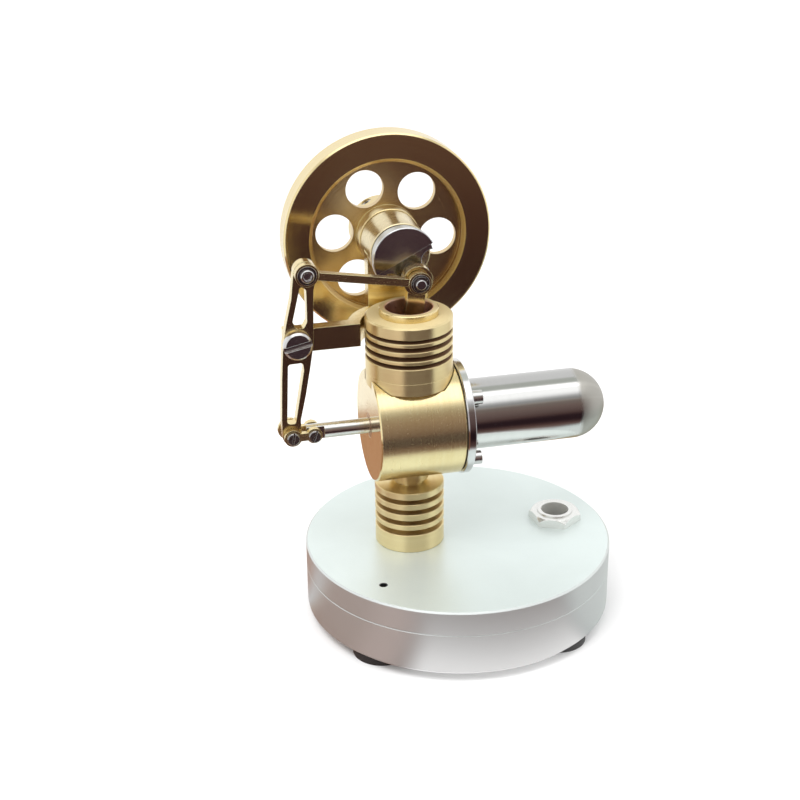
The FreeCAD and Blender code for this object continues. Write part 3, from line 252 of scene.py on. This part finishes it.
def blasted(name, base):
    """Fine bead-blasted aluminium with a clear anodised skin, for the tank."""
    inside_shade_colour = (0.02, 0.02, 0.02)
    shaded_wall_colour = (0.505, 0.495, 0.492)
    edge_colour = (0.97, 0.98, 0.98)
    material, net, bsdf, position = start_surface(name)
    grain = net.noise(position, scale=9.0, detail=3.0, rough=0.7)
    pits = net.voronoi(position, scale=6.0)
    cloud = net.noise(position, scale=0.07, detail=3.0, rough=0.55, distort=0.5)
    soft, normal, lean = net.edges(0.18)
    chips = net.noise(position, scale=1.6, detail=4.0, rough=0.7, distort=1.0)
    worn_and_lit_edge = net.mul(net.remap(lean, span=(0.01, 0.2)),
                   net.remap(chips, span=(0.38, 0.62), to=(0.25, 1.0)))
    tone = net.add(net.swing(grain, 0.9), net.swing(cloud, 0.7))
    colour = net.tone_mix(tone, base, scaled(base, gain=0.86))
    # edges brightened towards white: partly wear, partly a painted highlight where edges catch
    # the light
    colour = net.mix(net.mul(worn_and_lit_edge, 0.5), colour, edge_colour)

    # what lies within the walls is painted nearly black, as shade inside the closed tank
    x, y, z = net.split(position)
    inside = net.remap(net.radius(x, y), span=(28.3, 28.5), to=FALL)
    painted_inside_shade = net.mul(inside, net.band(z, rise=(1.55, 1.65), fall=(14.15, 14.3)))
    colour = net.mix(painted_inside_shade, colour, inside_shade_colour)
    # the wall is painted darker than the lid, as shade on the sides, and is a touch warmer
    wall = net.remap(net.split(normal)[2], span=(0.52, 0.90), to=FALL)
    colour = net.mix(net.mul(wall, 0.92), colour, shaded_wall_colour)
    colour = net.mix(painted_inside_shade, colour, inside_shade_colour)

    # the wall and the brightened edges (wear and painted highlight) are smoother, and the
    # inside, painted black as shade, is not metallic
    rough = net.add(0.38, net.swing(cloud, 0.10))
    rough = net.sub(rough, net.mul(wall, 0.05))
    rough = net.sub(rough, net.mul(worn_and_lit_edge, 0.14))
    metallic = net.mul(net.sub(1.0, painted_inside_shade), net.add(0.50, net.mul(wall, 0.18)))
    height = net.add(grain, net.mul(pits, 0.5))
    net.fill(bsdf, {"Base Color": colour, "Roughness": rough, "Metallic": metallic,
                    "Normal": net.bump(height, strength=0.25, depth=0.03, normal=soft)})
    return material


def dull(name, base, rough, grain_scale, bump, specular=0.4):
    """Rubber, gasket sheet or graphite."""
    material, net, bsdf, position = start_surface(name)
    grain = net.noise(position, scale=grain_scale, detail=4.0, rough=0.65)
    cloud = net.noise(position, scale=0.4, detail=2.0, rough=0.5)
    colour = net.mix(net.remap(grain, span=(0.3, 0.7)),
                     scaled(base, gain=0.7), scaled(base, gain=1.35))
    net.fill(bsdf, {"Base Color": colour, "Roughness": net.add(rough, net.swing(cloud, 0.25)),
                    "Specular IOR Level": specular,
                    "Normal": net.bump(grain, strength=bump, depth=0.05)})
    return material


# ------------------------------------------------- extras for single metals
# Here "level" is height over radius, which is the slope of a surface turned about X.
def cap_painted_bands_and_dome(net, position, radius, colour, rough):
    """Mirror tube with a painted dark reflection band at mid height and a painted grey
    reflection over the top, slightly paler than the band and crossed by a painted highlight
    line, then a matt beige dome on the right.
    """
    x, y, z = net.split(position)
    wobble = net.noise(position, scale=0.5, detail=3.0, rough=0.6)
    dome = net.remap(net.add(x, net.swing(wobble, 0.8)), span=(22.0, 23.2))
    level = net.math("DIVIDE", z, net.math("MAXIMUM", radius, 0.1))
    # painted reflections: the top of the tube is painted grey and a band at mid height is
    # painted dark
    high = net.remap(level, span=(0.48, 0.58))
    painted_dark_band = net.band(level, rise=(-0.20, -0.08), fall=(0.46, 0.54))
    colour = net.mix(net.mul(painted_dark_band, 0.55), colour, (0.30, 0.29, 0.29))
    # a thin line at level 0.83 stays bright: a painted highlight across the painted grey top
    painted_highlight_stripe = net.remap(net.math("ABSOLUTE", net.sub(level, 0.83)), span=(0.015, 0.06), to=FALL)
    high = net.mul(high, net.sub(0.62, net.mul(painted_highlight_stripe, 0.60)))
    colour = net.mix(high, colour, (0.34, 0.345, 0.34))
    colour = net.mix(net.mul(dome, 0.85), colour, (0.44, 0.425, 0.385))
    return colour, net.add(rough, net.mul(dome, 0.34))


def flange_painted_band(net, position, radius, colour, rough):
    """Painted dark reflection band at mid height, strongest on the flange's rim."""
    level = net.math("DIVIDE", net.split(position)[2], net.math("MAXIMUM", radius, 0.1))
    painted_dark_band = net.band(level, rise=(-0.22, -0.10), fall=(0.44, 0.52))
    rim = net.remap(radius, span=(10.5, 10.6), to=(0.2, 0.7))
    return net.mix(net.mul(painted_dark_band, rim), colour, (0.26, 0.22, 0.23)), rough


def face_polish(net, position, radius, colour, rough):
    """The housing's left end face is lapped brighter than its turned wall."""
    end = net.remap(net.split(position)[0], span=(-16.60, -16.45), to=FALL)
    return colour, net.sub(rough, net.mul(end, 0.14))


def wheel_face(net, position, radius, colour, rough):
    """The rim is lapped smooth; the web is painted darker and redder, as a reflection."""
    rim = net.remap(radius, span=(14.7, 15.1))
    web = net.remap(radius, span=(14.6, 14.9), to=FALL)
    painted_web_reflection = net.mul(web, net.remap(radius, span=(5.9, 6.3), to=(0.0, 0.45)))
    return net.mix(painted_web_reflection, colour, (0.60, 0.42, 0.26)), net.sub(rough, net.mul(rim, 0.10))


def rim_satin_painted_highlight(net, position, radius, colour, rough):
    """The disc's rim is satin and painted a lighter bluish white as a highlight; its faces are
    polished.
    """
    normal = net.put("ShaderNodeNewGeometry").outputs["Normal"]
    facing = net.math("ABSOLUTE", net.split(normal)[1])
    side = net.remap(facing, span=(0.35, 0.75), to=FALL)
    side = net.mul(side, net.remap(radius, span=(5.0, 5.2)))
    colour = net.mix(net.mul(side, 0.6), colour, (0.90, 0.94, 0.95))
    return colour, net.add(rough, net.mul(side, 0.26))


def bore_polish(net, position, radius, colour, rough):
    """The liner's bore is reddish."""
    bore = net.remap(radius, span=(4.45, 4.55), to=FALL)
    colour = net.mix(net.mul(bore, 0.85), colour, (0.84, 0.53, 0.42))
    return colour, net.add(rough, net.mul(bore, 0.04))


def wick_mouth(net, position, radius, colour, rough):
    """The fitting's bore is dull and light grey."""
    bore = net.remap(radius, span=(2.66, 2.76), to=FALL)
    return net.mix(bore, colour, (0.80, 0.80, 0.77)), net.add(rough, net.mul(bore, 0.30))


# ----------------------------------------------------------------- finishes
BRASS = dict(base=(0.86, 0.735, 0.42), deep=(0.76, 0.60, 0.31))
BRASS_DEEP = BRASS["deep"]
ABOUT_CYLINDER = dict(axis="Z", centre=(WHEEL_X, ENGINE_Y, 0))
ABOUT_HOUSING = dict(axis="X", centre=(0, ENGINE_Y, HOUSING_Z))
ABOUT_WHEEL = dict(axis="Y", centre=(WHEEL_X, 0, WHEEL_Z))

coated = set()


def coat(material, *pieces):
    """Put one material in every slot of the named pieces."""
    for name in pieces:
        piece = NODES[name]
        if not piece.material_slots:
            piece.data.materials.append(material)
        for slot in piece.material_slots:
            slot.link = "OBJECT"
            slot.material = material
        coated.add(name)


def coat_tank_and_soft_parts():
    coat(blasted("blasted_aluminium", base=(0.76, 0.84, 0.82)),
         "tank_lower_shell", "tank_upper_shell")
    coat(dull("black_rubber", base=(0.022, 0.021, 0.021), rough=0.62, grain_scale=4.0,
              bump=0.35), "rubber_feet", "tank_o_ring")
    coat(dull("gasket_sheet", base=(0.035, 0.028, 0.024), rough=0.8, grain_scale=7.0,
              bump=0.3), "head_gasket")
    coat(dull("graphite", base=(0.055, 0.055, 0.06), rough=0.38, grain_scale=9.0,
              bump=0.15, specular=0.6), "power_piston")
    coat(metal("nickel_turned", base=(0.84, 0.85, 0.83), deep=(0.74, 0.74, 0.71),
               rough=0.24, rough_var=0.05, aniso=0.3, axis="Z", centre=WICK_CENTRE,
               line=6, edge=0.6, edge_r=0.15, metallic=0.8, extra=wick_mouth),
         "wick_nut", "wick_tube")


def coat_turned_brass():
    # the groove colours of the column and the cylinder are painted shade in the recesses
    # between the fins
    coat(metal("brass_column", **BRASS, rough=0.33, rough_var=0.06, aniso=0.9, axis="Z",
               centre=(COLUMN_X, ENGINE_Y, 0), line=7, line_amp=0.7, bump=0.3, spots=0.12,
               painted_groove_shade=dict(radius=6.4, colour=(0.62, 0.48, 0.26), low=17.9, high=25.4,
                           fade=0.3)), "finned_column")
    coat(metal("brass_cylinder", **BRASS, **ABOUT_CYLINDER, rough=0.345, rough_var=0.04,
               aniso=0.92, line=7, line_amp=0.7, bump=0.25, spots=0.12, matt_top=0.55,
               painted_groove_shade=dict(radius=7.85, colour=(0.25, 0.13, 0.06), low=51.9, high=57.9,
                           fade=0.2)), "power_cylinder")
    coat(metal("brass_liner", base=(0.88, 0.76, 0.44), deep=BRASS_DEEP, **ABOUT_CYLINDER,
               rough=0.26, rough_var=0.06, aniso=0.7, line=8, bump=0.30, matt_top=0.3,
               extra=bore_polish), "cylinder_liner")
    coat(metal("brass_housing", base=(0.87, 0.755, 0.45), deep=BRASS_DEEP, **ABOUT_HOUSING,
               rough=0.25, rough_var=0.06, aniso=0.6, line=6, line_amp=0.8, bump=0.4,
               spots=0.2, edge=0.6, edge_r=0.16, metallic=0.95, extra=face_polish),
         "displacer_housing")
    coat(metal("brass_wheel", **BRASS, **ABOUT_WHEEL, rough=0.25, rough_var=0.04,
               aniso=0.85, line=6, line_amp=0.8, bump=0.22, spots=0.15, edge=0.6,
               edge_r=0.15, extra=wheel_face), "flywheel")
    coat(metal("brass_case", base=(0.89, 0.79, 0.52), deep=(0.74, 0.62, 0.38),
               **ABOUT_WHEEL, rough=0.28, rough_var=0.05, aniso=0.5, line=7, edge=0.6),
         "bearing_housing", "dogbone_nut_rocker")


def coat_brushed_brass():
    coat(metal("brass_plate", **BRASS, rough=0.18, rough_var=0.06, brush="Z", line=7,
               edge=0.9, edge_r=0.12), "rocker", "conrod")
    coat(metal("brass_bar", **BRASS, rough=0.25, rough_var=0.06, brush="X", line=7,
               bump=0.4, edge=0.9, edge_r=0.12), "link_bar", "dogbone_front", "dogbone_rear")
    coat(metal("brass_bracket", **BRASS, rough=0.19, rough_var=0.06, brush="X", line=6,
               line_amp=0.6, bump=0.4, edge=0.8, edge_r=0.14), "bracket")
    coat(metal("bronze_bush", base=(0.66, 0.46, 0.26), deep=(0.44, 0.28, 0.14), rough=0.32,
               rough_var=0.06, brush="X", line=6), "rod_bush", "conrod_bush")


def coat_steel():
    coat(metal("steel_flange", base=(0.76, 0.76, 0.76), deep=(0.58, 0.58, 0.58),
               **ABOUT_HOUSING, rough=0.12, rough_var=0.035, aniso=0.5, line=7, edge=0.6,
               extra=flange_painted_band), "clamp_flange")
    coat(metal("steel_cap", base=(0.78, 0.775, 0.76), deep=(0.62, 0.61, 0.60),
               **ABOUT_HOUSING, rough=0.13, rough_var=0.04, aniso=0.35, line=5,
               line_amp=0.35, bump=0.22, blotch=0.08, spots=0.1, extra=cap_painted_bands_and_dome),
         "hot_cap", "displacer")
    coat(metal("steel_rod", base=(0.74, 0.73, 0.71), deep=(0.56, 0.55, 0.53),
               **ABOUT_HOUSING, rough=0.14, rough_var=0.04, aniso=0.3, line=8, bump=0.25),
         "displacer_rod")
    coat(metal("steel_crank", base=(0.76, 0.77, 0.78), deep=(0.56, 0.56, 0.57),
               **ABOUT_WHEEL, rough=0.17, rough_var=0.05, aniso=0.45, line=7, edge=0.8,
               edge_r=0.15, extra=rim_satin_painted_highlight),
         "crank_disc", "crankshaft", "bearing_inner_races", "bearing_outer_races",
         "bearing_balls")
    coat(metal("steel_plain", base=(0.72, 0.72, 0.72), deep=(0.52, 0.52, 0.52), rough=0.18,
               rough_var=0.05, brush="Z", line=8, bump=0.3, edge=0.9, edge_r=0.12),
         "crank_pin", "crank_pin_spacer", "crank_pin_washer", "wrist_pin",
         "rocker_top_screw", "flywheel_grub_screw")
    coat(metal("nickel_screw", base=(0.74, 0.74, 0.73), deep=(0.54, 0.53, 0.53), rough=0.22,
               rough_var=0.06, brush="X", line=7, edge=0.9, edge_r=0.14),
         "flange_screws", "rocker_pivot_screw", "rocker_washer", "column_screw",
         "bracket_screws")
    coat(metal("dark_steel", base=(0.40, 0.39, 0.385), deep=(0.24, 0.23, 0.23), rough=0.24,
               rough_var=0.07, brush="X", line=6, bump=0.4, edge=1.0, edge_r=0.12),
         "link_bush_rocker", "link_bush_crank", "crank_pin_clip", "dogbone_nut_rod",
         "dogbone_pin_rocker", "dogbone_pin_rod")


# ------------------------------------------------------------- surroundings
TENT = 2.0                      # radiance of the brightest part of the white tent
DARK = (0.040, 0.020, 0.024)    # the viewer's side of the room
TAN = (0.50, 0.28, 0.18)
RUST = (0.345, 0.17, 0.095)
ROSE = (0.52, 0.32, 0.25)
BEARINGS = (-180, 180)          # degrees, 0 towards the viewer, + to the right
HEIGHTS = (-1.0, 1.0)           # z of a unit direction

# (bearing, radiance) low down
LOW_STOPS = [
    (-180, TAN), (-118, TAN), (-104, 0.80), (-97, (0.52, 0.38, 0.29)), (-90, RUST),
    (-62, RUST), (-50, ROSE), (-40, ROSE), (-30, (0.26, 0.16, 0.125)), (-22, DARK),
    (45, DARK), (50, (0.55, 0.62, 0.61)), (57, (0.80, 0.88, 0.86)),
    (100, (0.85, 0.92, 0.89)), (113, (0.40, 0.37, 0.24)), (135, (0.50, 0.38, 0.26)),
    (160, TAN), (180, TAN)]
# (bearing, share) of the extra height that the low band reaches
LIFT_STOPS = [(-180, 0.0), (-145, 0.0), (-115, 1.0), (115, 1.0), (145, 0.0), (180, 0.0)]
# (height, radiance) on the viewer's side
FRONT_STOPS = [
    (-1.0, 1.7), (-0.80, 1.5), (-0.73, 0.8), (-0.66, (0.20, 0.14, 0.12)),
    (-0.56, (0.14, 0.075, 0.065)), (-0.48, (0.055, 0.028, 0.030)), (-0.42, DARK),
    (-0.27, DARK), (-0.19, (0.070, 0.036, 0.038)), (-0.10, (0.135, 0.078, 0.070)),
    (0.105, (0.21, 0.143, 0.128)), (0.326, (0.275, 0.198, 0.172)),
    (0.53, (0.325, 0.275, 0.240)), (0.64, (0.45, 0.45, 0.44)), (0.73, 0.85),
    (0.80, 1.6), (0.86, TENT), (1.0, TENT)]
# (bearing, share) of the front profile
FRONT_ZONE = [(-180, 0.0), (-32, 0.0), (-23, 1.0), (45, 1.0), (53, 0.0), (180, 0.0)]
UPPER = (1.12, 1.12, 1.12)      # tent above the low band
SEAM = (0.66, 0.70, 0.62)


def surround(net, direction):
    """Colour that polished metal sees in a direction, as a share of TENT: a white tent, a
    dark gap on the viewer's side, warm tones low down on the left and behind."""
    x, y, z = net.split(direction)
    turn = net.math("ARCTAN2", x, net.mul(y, -1.0))
    turn = net.add(net.math("DIVIDE", turn, 2 * math.pi), 0.5)
    low = net.ramp(turn, LOW_STOPS, BEARINGS, scale=TENT)
    # the warm tones end lower down behind than on the left
    lift = net.ramp(turn, LIFT_STOPS, BEARINGS)
    upper = net.remap(net.sub(z, net.mul(lift, 0.16)), span=(-0.438, -0.414))
    side = net.mix(upper, low, scaled(UPPER, gain=1 / TENT))
    front = net.ramp(net.add(net.mul(z, 0.5), 0.5), FRONT_STOPS, HEIGHTS, scale=TENT)
    zone = net.ramp(turn, FRONT_ZONE, BEARINGS)
    # high up the front profile reaches all round to the sides
    wide = net.mul(net.remap(z, span=(0.55, 0.80)), net.remap(y, span=(0.12, -0.05)))
    colour = net.mix(net.math("MAXIMUM", zone, wide), side, front)
    # a slightly darker seam of the tent just behind the top
    middle = net.remap(net.math("ABSOLUTE", x), span=(0.35, 0.60), to=FALL)
    seam = net.mul(net.band(y, rise=(0.05, 0.15), fall=(0.36, 0.50)),
                   net.mul(net.remap(z, span=(0.70, 0.86)), middle))
    return net.mix(net.mul(seam, 0.8), colour, scaled(SEAM, gain=1 / TENT))


def build_world():
    """Glossy rays see the tent; everything else gets plain white light."""
    world = bpy.data.worlds.new("studio")
    bpy.context.scene.world = world
    net = Net(world, "ShaderNodeOutputWorld")
    coords = net.put("ShaderNodeTexCoord")
    direction = net.vmath("NORMALIZE", coords.outputs["Generated"])
    glossy = net.put("ShaderNodeBackground",
                     {"Color": surround(net, direction), "Strength": TENT})
    plain = net.put("ShaderNodeBackground", {"Color": (1.0, 1.0, 1.0), "Strength": 1.04})
    net.glossy_switch(plain, glossy)


def build_floor():
    """Pale floor that mirrors in the metal as part of the tent."""
    half = 3.0                          # metres
    seen_from = (-0.004, 0.0, 0.045)    # middle of the engine, metres
    mesh = bpy.data.meshes.new("floor")
    corners = [(-half, -half, 0), (half, -half, 0), (half, half, 0), (-half, half, 0)]
    mesh.from_pydata(corners, [], [(0, 1, 2, 3)])
    floor = bpy.data.objects.new("floor", mesh)
    bpy.context.scene.collection.objects.link(floor)
    material = bpy.data.materials.new("pale_floor")
    net = Net(material)
    plain = net.put("ShaderNodeBsdfDiffuse", {"Color": (0.93, 0.93, 0.93)})
    position = net.put("ShaderNodeNewGeometry").outputs["Position"]
    direction = net.vmath("NORMALIZE", net.vmath("SUBTRACT", position, seen_from))
    glossy = net.put("ShaderNodeEmission",
                     {"Color": surround(net, direction), "Strength": TENT})
    net.glossy_switch(plain, glossy)
    mesh.materials.append(material)


# --------------------------------------------------------- camera and lights
def build_camera():
    data = bpy.data.cameras.new("view")
    camera = bpy.data.objects.new("view", data)
    bpy.context.scene.collection.objects.link(camera)
    yaw, pitch, roll = math.radians(13.38), math.radians(-24.19), -0.0106
    forward = Vector((math.sin(yaw) * math.cos(pitch), math.cos(yaw) * math.cos(pitch),
                      math.sin(pitch)))
    level = Vector((math.cos(yaw), -math.sin(yaw), 0))
    upright = level.cross(forward)
    right = math.cos(roll) * level + math.sin(roll) * upright
    up = -math.sin(roll) * level + math.cos(roll) * upright
    pose = Matrix((right, up, -forward)).transposed().to_4x4()
    pose.translation = Vector((-71.572, -254.603, 159.683 + FOOT)) * MM
    camera.matrix_world = pose
    data.sensor_width = 36.0
    data.lens = 70.5726
    data.clip_start = 0.01
    data.clip_end = 20.0
    bpy.context.scene.camera = camera


def add_area(name, place, size, power):
    """Round light aimed at the engine and unseen in reflections; metres and watts."""
    target = Vector((0, 0, 0.04))
    data = bpy.data.lights.new(name, "AREA")
    data.shape = "DISK"
    data.size = size
    data.energy = power
    light = bpy.data.objects.new(name, data)
    bpy.context.scene.collection.objects.link(light)
    light.location = place
    light.rotation_euler = (target - Vector(place)).to_track_quat("-Z", "Y").to_euler()
    light.visible_glossy = False


coat_tank_and_soft_parts()
coat_turned_brass()
coat_brushed_brass()
coat_steel()
for node_name in NODES:
    if node_name not in coated:
        raise RuntimeError("no finish for " + node_name)
build_world()
build_floor()
build_camera()
add_area("key", place=(-0.35, -0.20, 0.75), size=0.5, power=3.2)
add_area("fill", place=(0.55, -0.25, 0.45), size=0.6, power=1.2)
bpy.context.scene.view_settings.view_transform = "Standard"
bpy.context.scene.view_settings.look = "None"
